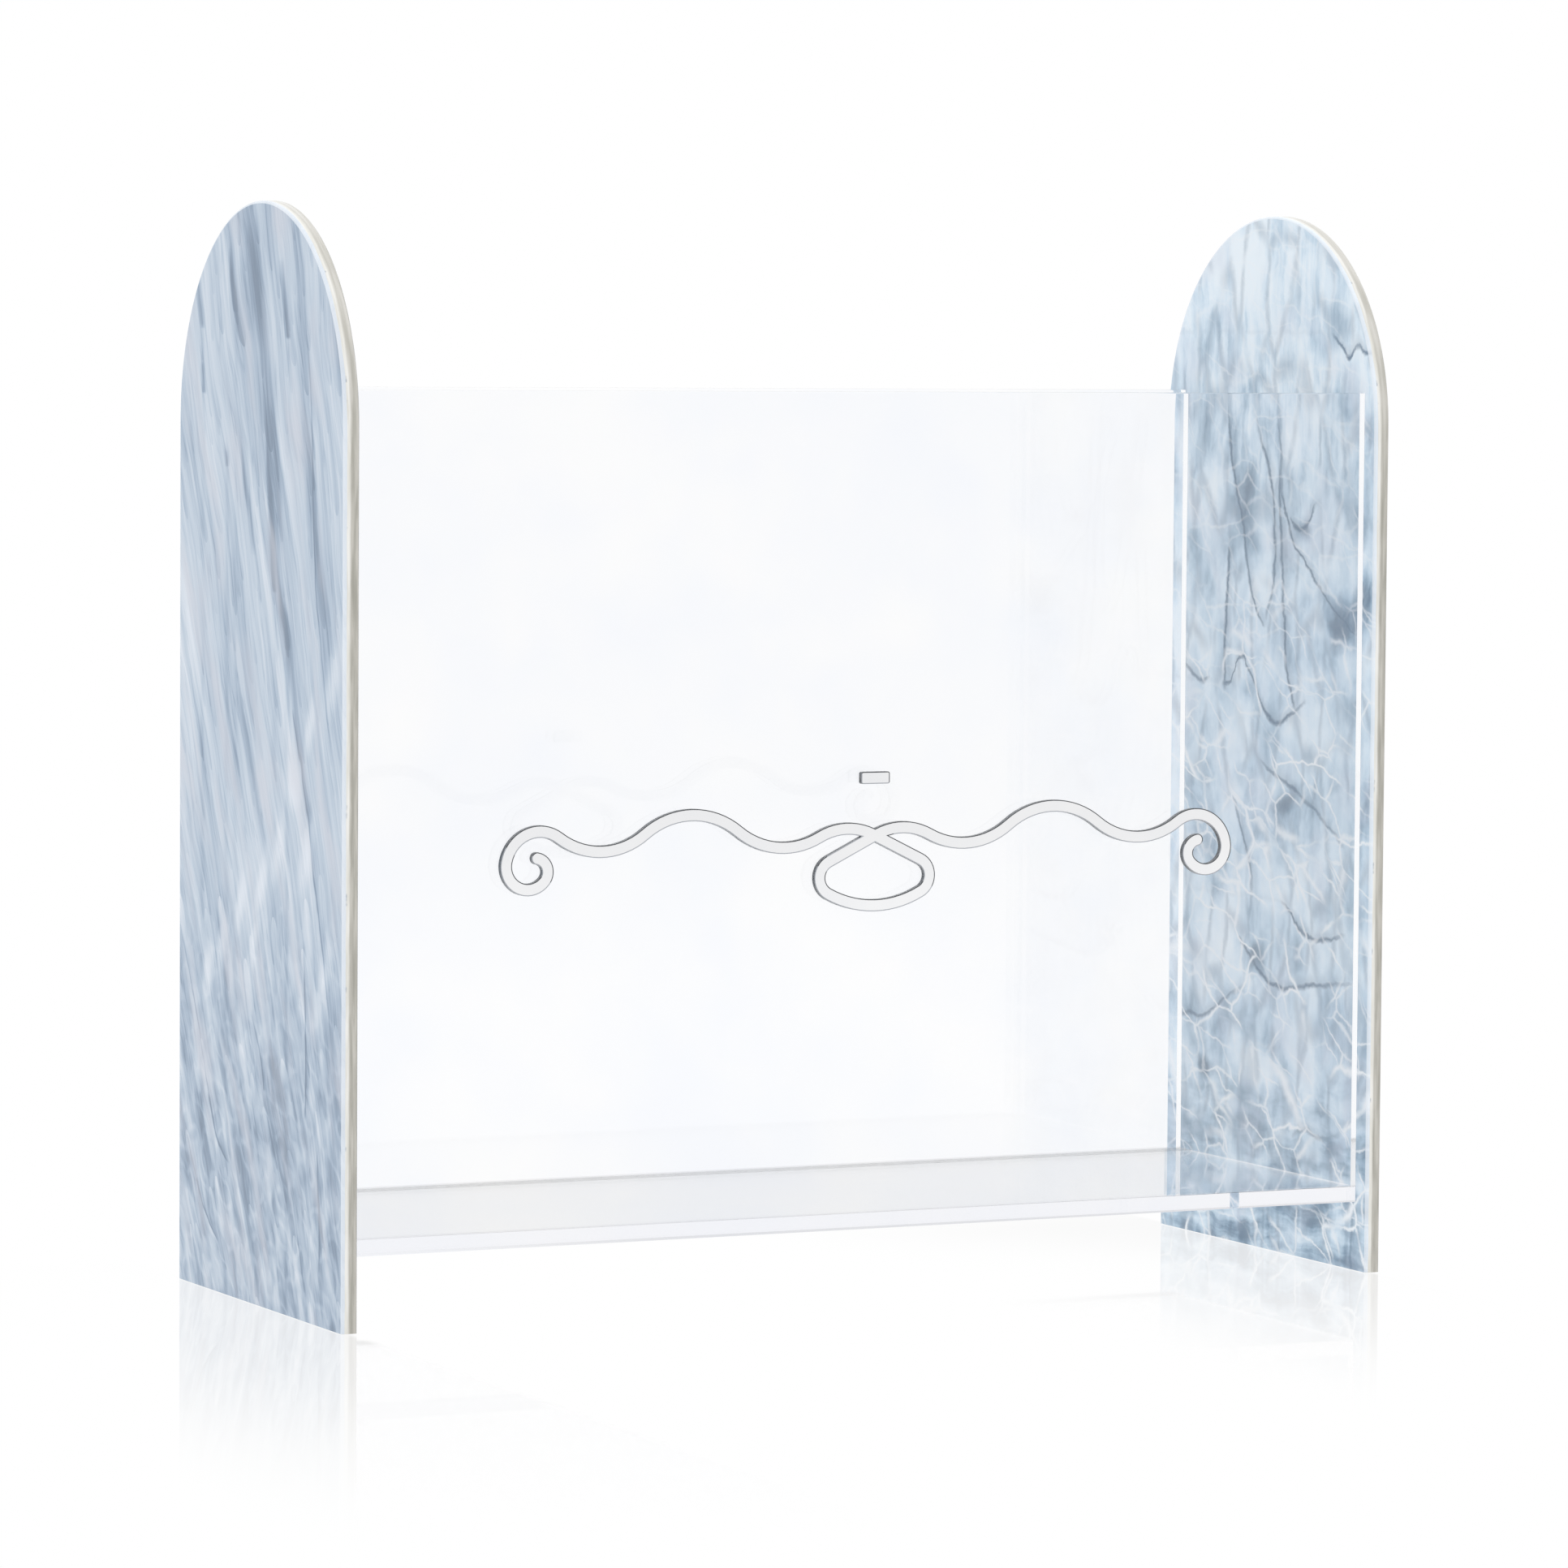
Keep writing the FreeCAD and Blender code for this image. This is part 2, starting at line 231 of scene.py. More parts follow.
def drawn_line(tree, along, sideways, route, width, soft_side=0.0):
    """A vein through given points, each (along, sideways, weight), in mm. Its weight fades it, and a
    faint shade lies along one side of it, as far as soft_side."""
    course = add(tree, "ShaderNodeFloatCurve")
    weight = add(tree, "ShaderNodeFloatCurve")
    scaled = add(tree, "ShaderNodeMath", {0: along, 1: 1 / SHEET_SPAN}, operation="MULTIPLY").outputs[0]
    for node, column, size in ((course, 1, SHEET_SPAN), (weight, 2, 1.0)):
        tree.links.new(scaled, node.inputs[1])
        line = node.mapping.curves[0]
        while len(line.points) < len(route):
            line.points.new(0.5, 0.5)
        for point, step in zip(line.points, route):
            point.location = (step[0] / SHEET_SPAN, step[column] / size)
        node.mapping.extend = "HORIZONTAL"
        node.mapping.update()
    middle = add(
        tree,
        "ShaderNodeMath",
        {0: course.outputs[0], 1: SHEET_SPAN},
        operation="MULTIPLY",
    ).outputs[0]
    away = add(tree, "ShaderNodeMath", {0: sideways, 1: middle}, operation="SUBTRACT").outputs[0]
    off = add(tree, "ShaderNodeMath", {0: away}, operation="ABSOLUTE").outputs[0]
    mark = span(tree, off, 0.0, width, 1.0, 0.0)
    if soft_side:
        shade = span(tree, away, 0.0, soft_side, 0.35, 0.0)
        beyond = add(tree, "ShaderNodeMath", {0: away, 1: 0.0}, operation="LESS_THAN").outputs[0]
        if soft_side > 0:
            beyond = add(tree, "ShaderNodeMath", {0: away, 1: 0.0}, operation="GREATER_THAN").outputs[0]
        shade = add(tree, "ShaderNodeMath", {0: shade, 1: beyond}, operation="MULTIPLY").outputs[0]
        mark = add(tree, "ShaderNodeMath", {0: mark, 1: shade}, operation="MAXIMUM").outputs[0]
    pressed = span(tree, weight.outputs[0], 0.06, 1.0)
    return add(tree, "ShaderNodeMath", {0: mark, 1: pressed}, operation="MULTIPLY").outputs[0]


def soft_patch(tree, across, down, centre, size, tilt=0.0):
    """A soft oval, 1 in its middle and 0 at its rim, so many mm wide and high, leaned by tilt degrees."""
    place = add(tree, "ShaderNodeCombineXYZ", {0: across, 1: down}).outputs[0]
    turned = add(
        tree,
        "ShaderNodeMapping",
        {
            "Vector": place,
            "Location": (centre[0], centre[1], 0),
            "Rotation": (0, 0, math.radians(-tilt)),
            "Scale": (size[0] / 2, size[1] / 2, 1),
        },
        vector_type="TEXTURE",
    ).outputs[0]
    reach = add(tree, "ShaderNodeVectorMath", {0: turned}, operation="LENGTH").outputs["Value"]
    return span(tree, reach, 0.0, 1.0, 1.0, 0.0)


def total(tree, parts):
    """The sum of several masks, each with its weight."""
    result = None
    for mask, weight in parts:
        if result is None:
            node = add(tree, "ShaderNodeMath", {0: mask, 1: weight}, operation="MULTIPLY")
        else:
            node = add(tree, "ShaderNodeMath", {0: mask, 1: weight, 2: result}, operation="MULTIPLY_ADD")
        result = node.outputs[0]
    return result


def strongest(tree, masks):
    """Several masks in one, each point as strong as the strongest of them."""
    result = masks[0]
    for mask in masks[1:]:
        result = add(tree, "ShaderNodeMath", {0: result, 1: mask}, operation="MAXIMUM").outputs[0]
    return result


def pattern_group(name):
    """An empty node group that takes across and down and gives a colour."""
    group = bpy.data.node_groups.new(name, "ShaderNodeTree")
    group.interface.new_socket("Across", in_out="INPUT", socket_type="NodeSocketFloat")
    group.interface.new_socket("Down", in_out="INPUT", socket_type="NodeSocketFloat")
    group.interface.new_socket("Colour", in_out="OUTPUT", socket_type="NodeSocketColor")
    ends = add(group, "NodeGroupInput")
    return group, ends.outputs[0], ends.outputs[1]


def streaked_pattern():
    """Streaks that fan down the sheet from its top: near upright at the front, leaning at the back foot."""
    group, across, down = pattern_group("streaked marble")

    # The lean grows down the sheet, and is less towards the front edge.
    slow = grain(group, across, down, 45, 70, 3.1, detail=1.0)
    quick = grain(group, across, down, 9, 30, 7.7, detail=2.0)
    squared = add(group, "ShaderNodeMath", {0: down, 1: down}, operation="MULTIPLY").outputs[0]
    lean = total(group, ((down, 0.34), (squared, 0.0005)))
    from_front = add(
        group,
        "ShaderNodeMath",
        {0: across, 1: -1 / 500, 2: 1.0},
        operation="MULTIPLY_ADD",
    ).outputs[0]
    lean = add(group, "ShaderNodeMath", {0: lean, 1: from_front}, operation="MULTIPLY").outputs[0]
    lane = add(group, "ShaderNodeMath", {0: across, 1: lean}, operation="SUBTRACT").outputs[0]
    lane = swayed(group, lane, slow, 14)
    lane = swayed(group, lane, quick, 2.4)

    broad = grain(group, lane, down, 13, 130, 1.3, detail=2.0)
    middle = grain(group, lane, down, 5, 60, 5.9, detail=3.0)
    fine = grain(group, lane, down, 1.3, 30, 9.4, detail=3.0)
    # Thin dark lines follow the streaks: the contours of a long grain.
    contour = grain(group, lane, down, 7, 90, 77.0, detail=2.0)
    contour = add(group, "ShaderNodeMath", {0: contour, 1: -0.5}, operation="ADD").outputs[0]
    contour = add(group, "ShaderNodeMath", {0: contour}, operation="ABSOLUTE").outputs[0]
    hairlines = span(group, contour, 0.0, 0.03, 1.0, 0.0)
    wide_drips = drips(group, lane, down, 8.5, 92, 11.0)
    thin_drips = drips(group, lane, down, 4.3, 58, 29.0)
    mottle = grain(group, lane, down, 12, 19, 17.0, detail=2.0)
    foot = span(group, down, 210, 350)
    mottle = add(group, "ShaderNodeMath", {0: mottle, 1: -0.5}, operation="ADD").outputs[0]
    # Pale rims curl round the mottled spots at the foot.
    curl = grain(group, lane, down, 17, 17, 87.0, detail=1.0)
    curl = add(group, "ShaderNodeMath", {0: curl, 1: -0.5}, operation="ADD").outputs[0]
    curl = add(group, "ShaderNodeMath", {0: curl}, operation="ABSOLUTE").outputs[0]
    curl = span(group, curl, 0.01, 0.07, 1.0, 0.0)
    curl = add(group, "ShaderNodeMath", {0: curl, 1: foot}, operation="MULTIPLY").outputs[0]
    mottle = add(group, "ShaderNodeMath", {0: mottle, 1: foot}, operation="MULTIPLY").outputs[0]
    calm = span(group, down, 210, 350, 1.0, 0.5)
    middle = add(group, "ShaderNodeMath", {0: middle, 1: calm}, operation="MULTIPLY").outputs[0]
    fine = add(group, "ShaderNodeMath", {0: fine, 1: calm}, operation="MULTIPLY").outputs[0]
    head = span(group, down, 0, 170, 1.0, 0.35)
    wide_drips = add(group, "ShaderNodeMath", {0: wide_drips, 1: head}, operation="MULTIPLY").outputs[0]
    # Pale drops start in a round end and trail off down the lower half.
    up = add(
        group,
        "ShaderNodeMath",
        {0: down, 1: -1.0, 2: SHEET_SPAN},
        operation="MULTIPLY_ADD",
    ).outputs[0]
    pale_drops = drips(group, lane, up, 10.5, 52, 53.0)
    small_drops = drips(group, lane, up, 7.5, 27, 67.0)
    lower = span(group, down, 190, 260)
    pale_drops = add(group, "ShaderNodeMath", {0: pale_drops, 1: lower}, operation="MULTIPLY").outputs[0]
    small_drops = add(group, "ShaderNodeMath", {0: small_drops, 1: foot}, operation="MULTIPLY").outputs[0]

    # The main dark run from the head of the arch to the front foot, and the light one behind it.
    wavy = swayed(group, across, quick, 5)
    run_places = (
        (4, 68, 0.9),
        (33, 79, 1),
        (62, 90, 0.7),
        (104, 95, 0.8),
        (137, 97, 1),
        (156, 107, 0.8),
        (198, 121, 0.8),
        (238, 134, 0.8),
        (281, 147, 0.6),
        (340, 154, 0.5),
    )
    main_run = drawn_line(group, down, wavy, run_places, 9)
    second_places = ((5, 118, 0.4), (60, 121, 0.6), (110, 131, 0.8), (150, 145, 0.6), (200, 158, 0))
    second_run = drawn_line(group, down, wavy, second_places, 9)
    light_places = (
        (95, 76, 0),
        (140, 90, 0.8),
        (185, 106, 1),
        (220, 121, 1),
        (260, 137, 0.8),
        (310, 148, 0),
    )
    light_run = drawn_line(group, down, wavy, light_places, 10)
    pale_back = soft_patch(group, wavy, down, (12, 150), (60, 200), -10)
    pale_mid = soft_patch(group, wavy, down, (70, 245), (70, 60), -25)
    blue_mid = soft_patch(group, wavy, down, (66, 186), (50, 70), -20)
    blue_head = soft_patch(group, wavy, down, (78, 24), (40, 70), -15)
    blue_foot = soft_patch(group, wavy, down, (98, 330), (90, 90), -25)
    petal_places = (
        ((111, 208), (26, 24)),
        ((126, 232), (17, 44)),
        ((98, 232), (14, 40)),
        ((82, 246), (14, 48)),
        ((62, 254), (13, 38)),
        ((76, 266), (13, 38)),
        ((45, 268), (14, 34)),
        ((30, 280), (17, 40)),
        ((142, 276), (16, 60)),
        ((150, 170), (18, 40)),
        ((129, 186), (12, 34)),
    )
    # Single drips with a blunt dark end, and fine cracks of the same blue.
    drip_places = (
        ((14, 49, 0), (24, 52, 0.6), (37, 56, 1), (40, 57, 0)),
        ((22, 17, 0), (34, 20, 0.8), (43, 23, 0.9), (46, 24, 0)),
        ((46, 22, 0), (58, 23, 0.6), (67, 24.5, 1), (70, 25, 0)),
        ((20, 100, 0), (34, 103, 0.8), (47, 106, 1), (50, 107, 0)),
        ((84, 45, 0), (90, 47, 0.5), (94, 48, 0.8), (96, 48, 0)),
        ((60, 84, 0), (100, 90, 0.7), (136, 94, 1), (140, 95, 0)),
        ((60, 52, 0), (80, 60, 0.4), (110, 70, 0.6), (128, 76, 0)),
        ((132, 99, 0), (150, 105, 0.8), (157, 107, 1), (160, 107, 0)),
    )
    crack_places = (
        ((30, 122, 0), (70, 129, 0.6), (120, 132, 0.7), (160, 140, 0.6), (200, 150, 0)),
        ((180, 112, 0), (198, 120, 0.9), (238, 133, 0.9), (281, 146, 0.5), (300, 150, 0)),
        ((262, 123, 0), (281, 124, 0.8), (312, 126, 1), (326, 126, 0)),
        ((335, 138, 0), (350, 138, 0.8), (372, 139, 0.7), (380, 139, 0)),
        ((262, 0, 0), (280, 9, 0.6), (298, 19, 0.8), (342, 40, 1), (348, 47, 0.8), (350, 52, 0)),
        ((338, 6, 0), (350, 12, 0.7), (372, 30, 0.9), (380, 41, 0)),
        ((290, 72, 0), (304, 80, 0.7), (316, 85, 0.9), (320, 86, 0)),
    )
    drip_marks = [drawn_line(group, down, wavy, route, 3.6, soft_side=-4.0) for route in drip_places]
    crack_marks = [drawn_line(group, down, wavy, route, 1.3, soft_side=5.0) for route in crack_places]
    marks = strongest(group, drip_marks + crack_marks)
    petals = strongest(
        group,
        [soft_patch(group, wavy, down, centre, size, -24) for centre, size in petal_places],
    )

    shade = total(
        group,
        (
            (broad, 0.62),
            (middle, 0.50),
            (fine, 0.30),
            (hairlines, 0.10),
            (wide_drips, 0.30),
            (thin_drips, 0.12),
            (mottle, 0.90),
            (curl, -0.10),
            (foot, 0.34),
            (pale_drops, -0.24),
            (small_drops, -0.10),
            (main_run, 0.26),
            (second_run, 0.20),
            (marks, 0.42),
            (light_run, -0.22),
            (petals, -0.24),
            (blue_foot, 0.14),
            (pale_back, -0.12),
            (pale_mid, -0.10),
            (blue_mid, 0.08),
            (blue_head, 0.20),
        ),
    )
    ramp = add(group, "ShaderNodeValToRGB", {0: span(group, shade, 0.21, 1.28)})
    set_ramp(
        ramp,
        (
            (0.0, "#DDE4EE"),
            (0.22, "#CCD6E2"),
            (0.45, "#B7C6D6"),
            (0.68, "#9DB0C5"),
            (0.86, "#8196AE"),
            (1.0, "#667C94"),
        ),
    )
    # Lilac clouds lie over the streaks.
    cloud = grain(group, lane, down, 22, 60, 41.0, detail=2.0)
    lilac = span(group, cloud, 0.48, 0.72, 0.0, 0.55)
    mixed = add(
        group,
        "ShaderNodeMix",
        {0: lilac, 6: ramp.outputs[0], 7: colour("#C6C9D4")},
        data_type="RGBA",
    ).outputs[2]
    add(group, "NodeGroupOutput", {0: mixed})
    return group


def crackled_pattern():
    """Soft clouds, dark veins that outline long runs, and white cracks, most of them near the foot."""
    group, across, down = pattern_group("crackled marble")
    slow = grain(group, across, down, 38, 48, 2.2, detail=2.0)
    slow_too = grain(group, across, down, 38, 48, 12.7, detail=2.0)
    quick = grain(group, across, down, 8, 8, 4.4, detail=4.0, roughness=0.66)
    quick_too = grain(group, across, down, 8, 8, 14.9, detail=4.0, roughness=0.66)
    wavy = swayed(group, swayed(group, across, slow, 12), quick, 4)
    deep = swayed(group, swayed(group, down, slow_too, 16), quick_too, 4)
    near_across = swayed(group, across, quick, 4.5)
    near_down = swayed(group, down, quick_too, 4.5)

    clouds = grain(group, wavy, deep, 20, 30, 6.0, detail=4.0)
    wisps = grain(group, wavy, deep, 4.5, 38, 8.0, detail=3.0)
    waves = grain(group, wavy, deep, 46, 7, 31.0, detail=3.0)
    head = span(group, down, 60, 130, 1.0, 0.25)
    foot = span(group, down, 300, 385)

    dark_routes = (
        (
            (66, 45, 0),
            (80, 47, 0.7),
            (96, 50, 1),
            (114, 57, 0.9),
            (137, 63, 0.8),
            (150, 69, 0.9),
            (158, 77, 0),
        ),
        ((70, 66, 0), (84, 71, 0.6), (99, 79, 0.9), (119, 83, 0.9), (142, 82, 0.8), (156, 76, 0)),
        (
            (84, 86, 0),
            (96, 86, 0.5),
            (109, 87, 0.9),
            (142, 90, 0.8),
            (162, 92, 1),
            (178, 95, 1),
            (190, 101, 0),
        ),
        ((127, 48, 0), (133, 48, 1), (152, 46, 1), (172, 45, 1), (184, 46, 0)),
        (
            (76, 84, 0),
            (86, 87, 0.7),
            (104, 88, 0.7),
            (116, 93, 1),
            (126, 99, 1),
            (133, 108, 0.9),
            (146, 124, 0.8),
            (160, 150, 0.6),
        ),
        ((222, 52, 0), (232, 57, 0.7), (243, 63, 0.8), (256, 68, 0.6), (280, 63, 0.3)),
    )
    flat_routes = (
        (
            (43, 180, 0),
            (49, 180, 1),
            (58, 169, 1),
            (63, 173, 1),
            (71, 183, 1),
            (78, 191, 1),
            (87, 194, 1),
            (98, 190, 0.8),
            (110, 184, 0),
        ),
        ((94, 114, 0), (100, 119, 1), (108, 117, 1), (114, 110, 0.4), (122, 107, 0)),
        ((70, 207, 0), (78, 211, 0.6), (92, 216, 0.8), (107, 222, 0.7), (122, 229, 0.7), (140, 240, 0)),
        ((90, 262, 0), (97, 266, 0.9), (107, 273, 1), (125, 275, 0.9), (140, 271, 0)),
        (
            (58, 278, 0),
            (64, 283, 1),
            (77, 292, 1),
            (92, 296, 1),
            (107, 294, 0.9),
            (135, 291, 0.6),
            (160, 288, 0),
        ),
        ((10, 313, 0), (19, 312, 0.8), (34, 311, 0.8), (49, 303, 0.7), (66, 297, 0)),
        ((10, 173, 0), (16, 176, 0.7), (26, 180, 0.8), (34, 179, 0)),
        ((126, 44, 0), (134, 49, 0.9), (140, 53, 1), (146, 49, 0.7), (152, 52, 0.9), (160, 49, 0.5)),
        ((100, 352, 0), (112, 349, 0.7), (124, 351, 0.6), (140, 346, 0)),
    )
    dark_veins = [
        drawn_line(group, near_down, near_across, route, 2.0, soft_side=7.0) for route in dark_routes
    ]
    flat_veins = [
        drawn_line(group, near_across, near_down, route, 1.9, soft_side=-6.0) for route in flat_routes
    ]
    veins = strongest(group, dark_veins + flat_veins)

    # Fainter outlines of long runs fill in between the main veins.
    runs = cell_gap(group, wavy, deep, 16, 44, 3.0)
    outline = span(group, runs, 0.0, 0.14, 1.0, 0.0)
    broken = span(group, grain(group, across, down, 24, 24, 51.0, detail=1.0), 0.34, 0.56)
    outline = add(group, "ShaderNodeMath", {0: outline, 1: broken}, operation="MULTIPLY").outputs[0]

    smudge_places = (
        ((70, 285), (26, 16), 20),
        ((31, 332), (26, 14), -15),
        ((90, 222), (40, 16), 20),
        ((104, 117), (22, 14), 0),
        ((145, 150), (60, 50), 20),
        ((60, 110), (40, 60), 10),
    )
    smudges = strongest(group, [soft_patch(group, wavy, deep, *place) for place in smudge_places])
    pale_places = (
        ((62, 196), (34, 34), 0),
        ((49, 276), (30, 56), 0),
        ((8, 200), (24, 330), 0),
        ((96, 84), (24, 40), 0),
        ((75, 330), (60, 26), 0),
        ((60, 20), (70, 60), 0),
    )
    pale = strongest(group, [soft_patch(group, wavy, deep, *place) for place in pale_places])

    wisps = add(group, "ShaderNodeMath", {0: wisps, 1: -0.5}, operation="ADD").outputs[0]
    wisps = add(group, "ShaderNodeMath", {0: wisps, 1: head}, operation="MULTIPLY").outputs[0]
    waves = add(group, "ShaderNodeMath", {0: waves, 1: -0.42}, operation="ADD").outputs[0]
    waves = add(group, "ShaderNodeMath", {0: waves, 1: foot}, operation="MULTIPLY").outputs[0]
    # Painted shade: the face is a little darker below the head, where it stands inside the tray.
    painted_shade_in_tray = span(group, down, 55, 80)
    shade = total(
        group,
        (
            (clouds, 1.35),
            (wisps, 0.8),
            (waves, 1.3),
            (painted_shade_in_tray, 0.12),
            (smudges, 0.40),
            (pale, -0.30),
            (foot, 0.06),
        ),
    )
    ramp = add(group, "ShaderNodeValToRGB", {0: span(group, shade, 0.40, 1.28)})
    set_ramp(
        ramp,
        (
            (0.0, "#ECF6FE"),
            (0.25, "#DCECF9"),
            (0.5, "#C7DCED"),
            (0.72, "#ACC5D9"),
            (0.9, "#8DA7BE"),
            (1.0, "#7089A0"),
        ),
    )
    cloud = grain(group, wavy, deep, 26, 34, 61.0, detail=2.0)
    lilac = span(group, cloud, 0.50, 0.72, 0.0, 0.4)
    tinted = add(
        group,
        "ShaderNodeMix",
        {0: lilac, 6: ramp.outputs[0], 7: colour("#D2DAE9")},
        data_type="RGBA",
    ).outputs[2]

    # White cracks: the bent borders of two sizes of cell, shown only in parts, so that they branch.
    crack_zone = span(group, down, 120, 200, 0.42, 1.0)
    crack_patch = span(group, grain(group, across, down, 34, 30, 71.0, detail=1.0), 0.30, 0.50, 0.25, 1.0)
    slanted = total(group, ((near_down, 1.0), (near_across, -0.35)))
    bent_across = swayed(group, near_across, grain(group, across, down, 26, 20, 83.0, detail=1.0), 13)
    bent_down = swayed(group, slanted, grain(group, across, down, 26, 20, 93.0, detail=1.0), 13)
    crack_lines = []
    for width, height, seed, weight in ((40, 22, 5.0, 1.0), (23, 14, 15.0, 0.8)):
        gap = cell_gap(group, bent_across, bent_down, width, height, seed)
        line = span(group, gap, 0.0, 0.8 / height, 0.9 * weight, 0.0)
        halo = span(group, gap, 0.0, 3.6 / height, 0.13 * weight, 0.0)
        line = add(group, "ShaderNodeMath", {0: line, 1: halo}, operation="ADD").outputs[0]
        parts = span(
            group,
            grain(group, across, down, 26, 20, 100.0 + seed, detail=1.0),
            0.36,
            0.56,
            0.0,
            1.0,
        )
        line = add(group, "ShaderNodeMath", {0: line, 1: parts}, operation="MULTIPLY").outputs[0]
        crack_lines.append(line)
    cracks = strongest(group, crack_lines)
    cracks = add(group, "ShaderNodeMath", {0: cracks, 1: crack_zone}, operation="MULTIPLY").outputs[0]
    cracks = add(group, "ShaderNodeMath", {0: cracks, 1: crack_patch}, operation="MULTIPLY").outputs[0]

    faint = add(group, "ShaderNodeMath", {0: outline, 1: 0.36}, operation="MULTIPLY").outputs[0]
    dark = add(group, "ShaderNodeMath", {0: veins, 1: faint}, operation="MAXIMUM").outputs[0]
    dark = add(group, "ShaderNodeMath", {0: dark, 1: 0.92}, operation="MULTIPLY").outputs[0]
    veined = add(
        group,
        "ShaderNodeMix",
        {0: dark, 6: tinted, 7: colour("#58748F")},
        data_type="RGBA",
    ).outputs[2]
    cracks = add(
        group,
        "ShaderNodeMath",
        {0: cracks, 1: 0.95},
        operation="MULTIPLY",
        use_clamp=True,
    ).outputs[0]
    cracked = add(
        group,
        "ShaderNodeMix",
        {0: cracks, 6: veined, 7: colour("#F1F6FB")},
        data_type="RGBA",
    ).outputs[2]
    add(group, "NodeGroupOutput", {0: cracked})
    return group


STREAKED = streaked_pattern()
CRACKLED = crackled_pattern()


# ---------------------------------------------------------------- materials


def polished_marble(name, pattern):
    """Marble-look cast acrylic, polished: its colour lies just under a glossy face, which the buffing
    has left very slightly uneven."""
    material, tree = new_material(name)
    across, down, _ = sheet_place(tree)
    face = add(tree, "ShaderNodeGroup", {}, node_tree=pattern)
    tree.links.new(across, face.inputs[0])
    tree.links.new(down, face.inputs[1])
    haze = grain(tree, across, down, 30, 45, 5.0)
    shader = add(
        tree,
        "ShaderNodeBsdfPrincipled",
        {
            "Base Color": face.outputs[0],
            "Roughness": span(tree, haze, 0.3, 0.7, 0.06, 0.16),
            "IOR": ACRYLIC_IOR,
        },
    )
    finish_material(tree, shader)
    return material


def sawn_edge(name, pattern, first_face):
    """The sheet's cut and flame-polished edge, counted in from the face at first_face (mm along x): the
    marble skin under a painted highlight on the round, then cream, then grey-beige, darker at the far corner."""
    material, tree = new_material(name)
    across, down, depth = sheet_place(tree)
    face = add(tree, "ShaderNodeGroup", {}, node_tree=pattern)
    tree.links.new(across, face.inputs[0])
    tree.links.new(down, face.inputs[1])
    uneven = grain(tree, across, down, 5, 16, 23.0)
    layer = add(tree, "ShaderNodeMath", {0: depth, 1: -first_face}, operation="ADD").outputs[0]
    layer = swayed(tree, layer, uneven, 0.6)
    cloudy = span(tree, grain(tree, depth, down, 1.6, 26, 33.0), 0.3, 0.7)
    # Cream nearer the face, grey-beige deeper in, and paler towards the head of the arch.
    head = span(tree, down, 20, 120, 0.4, 0.0)
    cream = add(
        tree,
        "ShaderNodeMix",
        {0: cloudy, 6: colour("#F3F2EE"), 7: colour("#DFDDD4")},
        data_type="RGBA",
    ).outputs[2]
    core = add(
        tree,
        "ShaderNodeMix",
        {0: cloudy, 6: colour("#C9C6BE"), 7: colour("#A6A49B")},
        data_type="RGBA",
    ).outputs[2]
    core = add(tree, "ShaderNodeMix", {0: head, 6: core, 7: cream}, data_type="RGBA").outputs[2]
    # Dark vein ends show here and there in the cream, about a millimetre in.
    ends = span(tree, grain(tree, across, down, 7, 11, 43.0), 0.60, 0.68)
    near = span(tree, layer, 1.0, 2.0, 1.0, 0.0)
    ends = add(tree, "ShaderNodeMath", {0: ends, 1: near}, operation="MULTIPLY").outputs[0]
    cream = add(
        tree,
        "ShaderNodeMix",
        {0: ends, 6: cream, 7: colour("#8C9AAB")},
        data_type="RGBA",
    ).outputs[2]
    inner = add(
        tree,
        "ShaderNodeMix",
        {0: span(tree, layer, 2.0, 3.0), 6: cream, 7: core},
        data_type="RGBA",
    ).outputs[2]
    # Painted highlight: the round along the face is paled towards blue-white, where the light catches it.
    pale = add(
        tree,
        "ShaderNodeMix",
        {0: 0.72, 6: face.outputs[0], 7: colour("#EEF4FB")},
        data_type="RGBA",
    ).outputs[2]
    skin = add(
        tree,
        "ShaderNodeMix",
        {0: span(tree, layer, 1.0, 1.35), 6: pale, 7: inner},
        data_type="RGBA",
    ).outputs[2]
    far = add(
        tree,
        "ShaderNodeMix",
        {0: span(tree, layer, 5.4, 5.8), 6: skin, 7: colour("#A3A29E")},
        data_type="RGBA",
    ).outputs[2]
    shader = add(
        tree,
        "ShaderNodeBsdfPrincipled",
        {"Base Color": far, "Roughness": span(tree, uneven, 0.3, 0.7, 0.12, 0.24), "IOR": ACRYLIC_IOR},
    )
    finish_material(tree, shader)
    return material


def clear_acrylic():
    """Clear cast acrylic, polished: almost colourless, a trace cooler in broad patches."""
    material, tree = new_material("clear cast acrylic")
    place = add(tree, "ShaderNodeTexCoord").outputs["Object"]
    haze = add(tree, "ShaderNodeTexNoise", {"Vector": place, "Scale": 22.0, "Detail": 3.0}).outputs[0]
    tint = add(
        tree,
        "ShaderNodeMix",
        {0: span(tree, haze, 0.3, 0.7), 6: colour("#FFFFFF"), 7: colour("#FCFDFF")},
        data_type="RGBA",
    ).outputs[2]
    shader = add(
        tree,
        "ShaderNodeBsdfPrincipled",
        {
            "Base Color": tint,
            "Roughness": 0.0,
            "IOR": ACRYLIC_IOR,
            "Transmission Weight": 1.0,
        },
    )
    # Acrylic swallows a little light along the sheet, red first, which greys what is seen through its length.
    body = add(tree, "ShaderNodeVolumeAbsorption", {"Color": colour("#B4B8D2"), "Density": 1.1})
    finish_material(tree, shader, body)
    return material


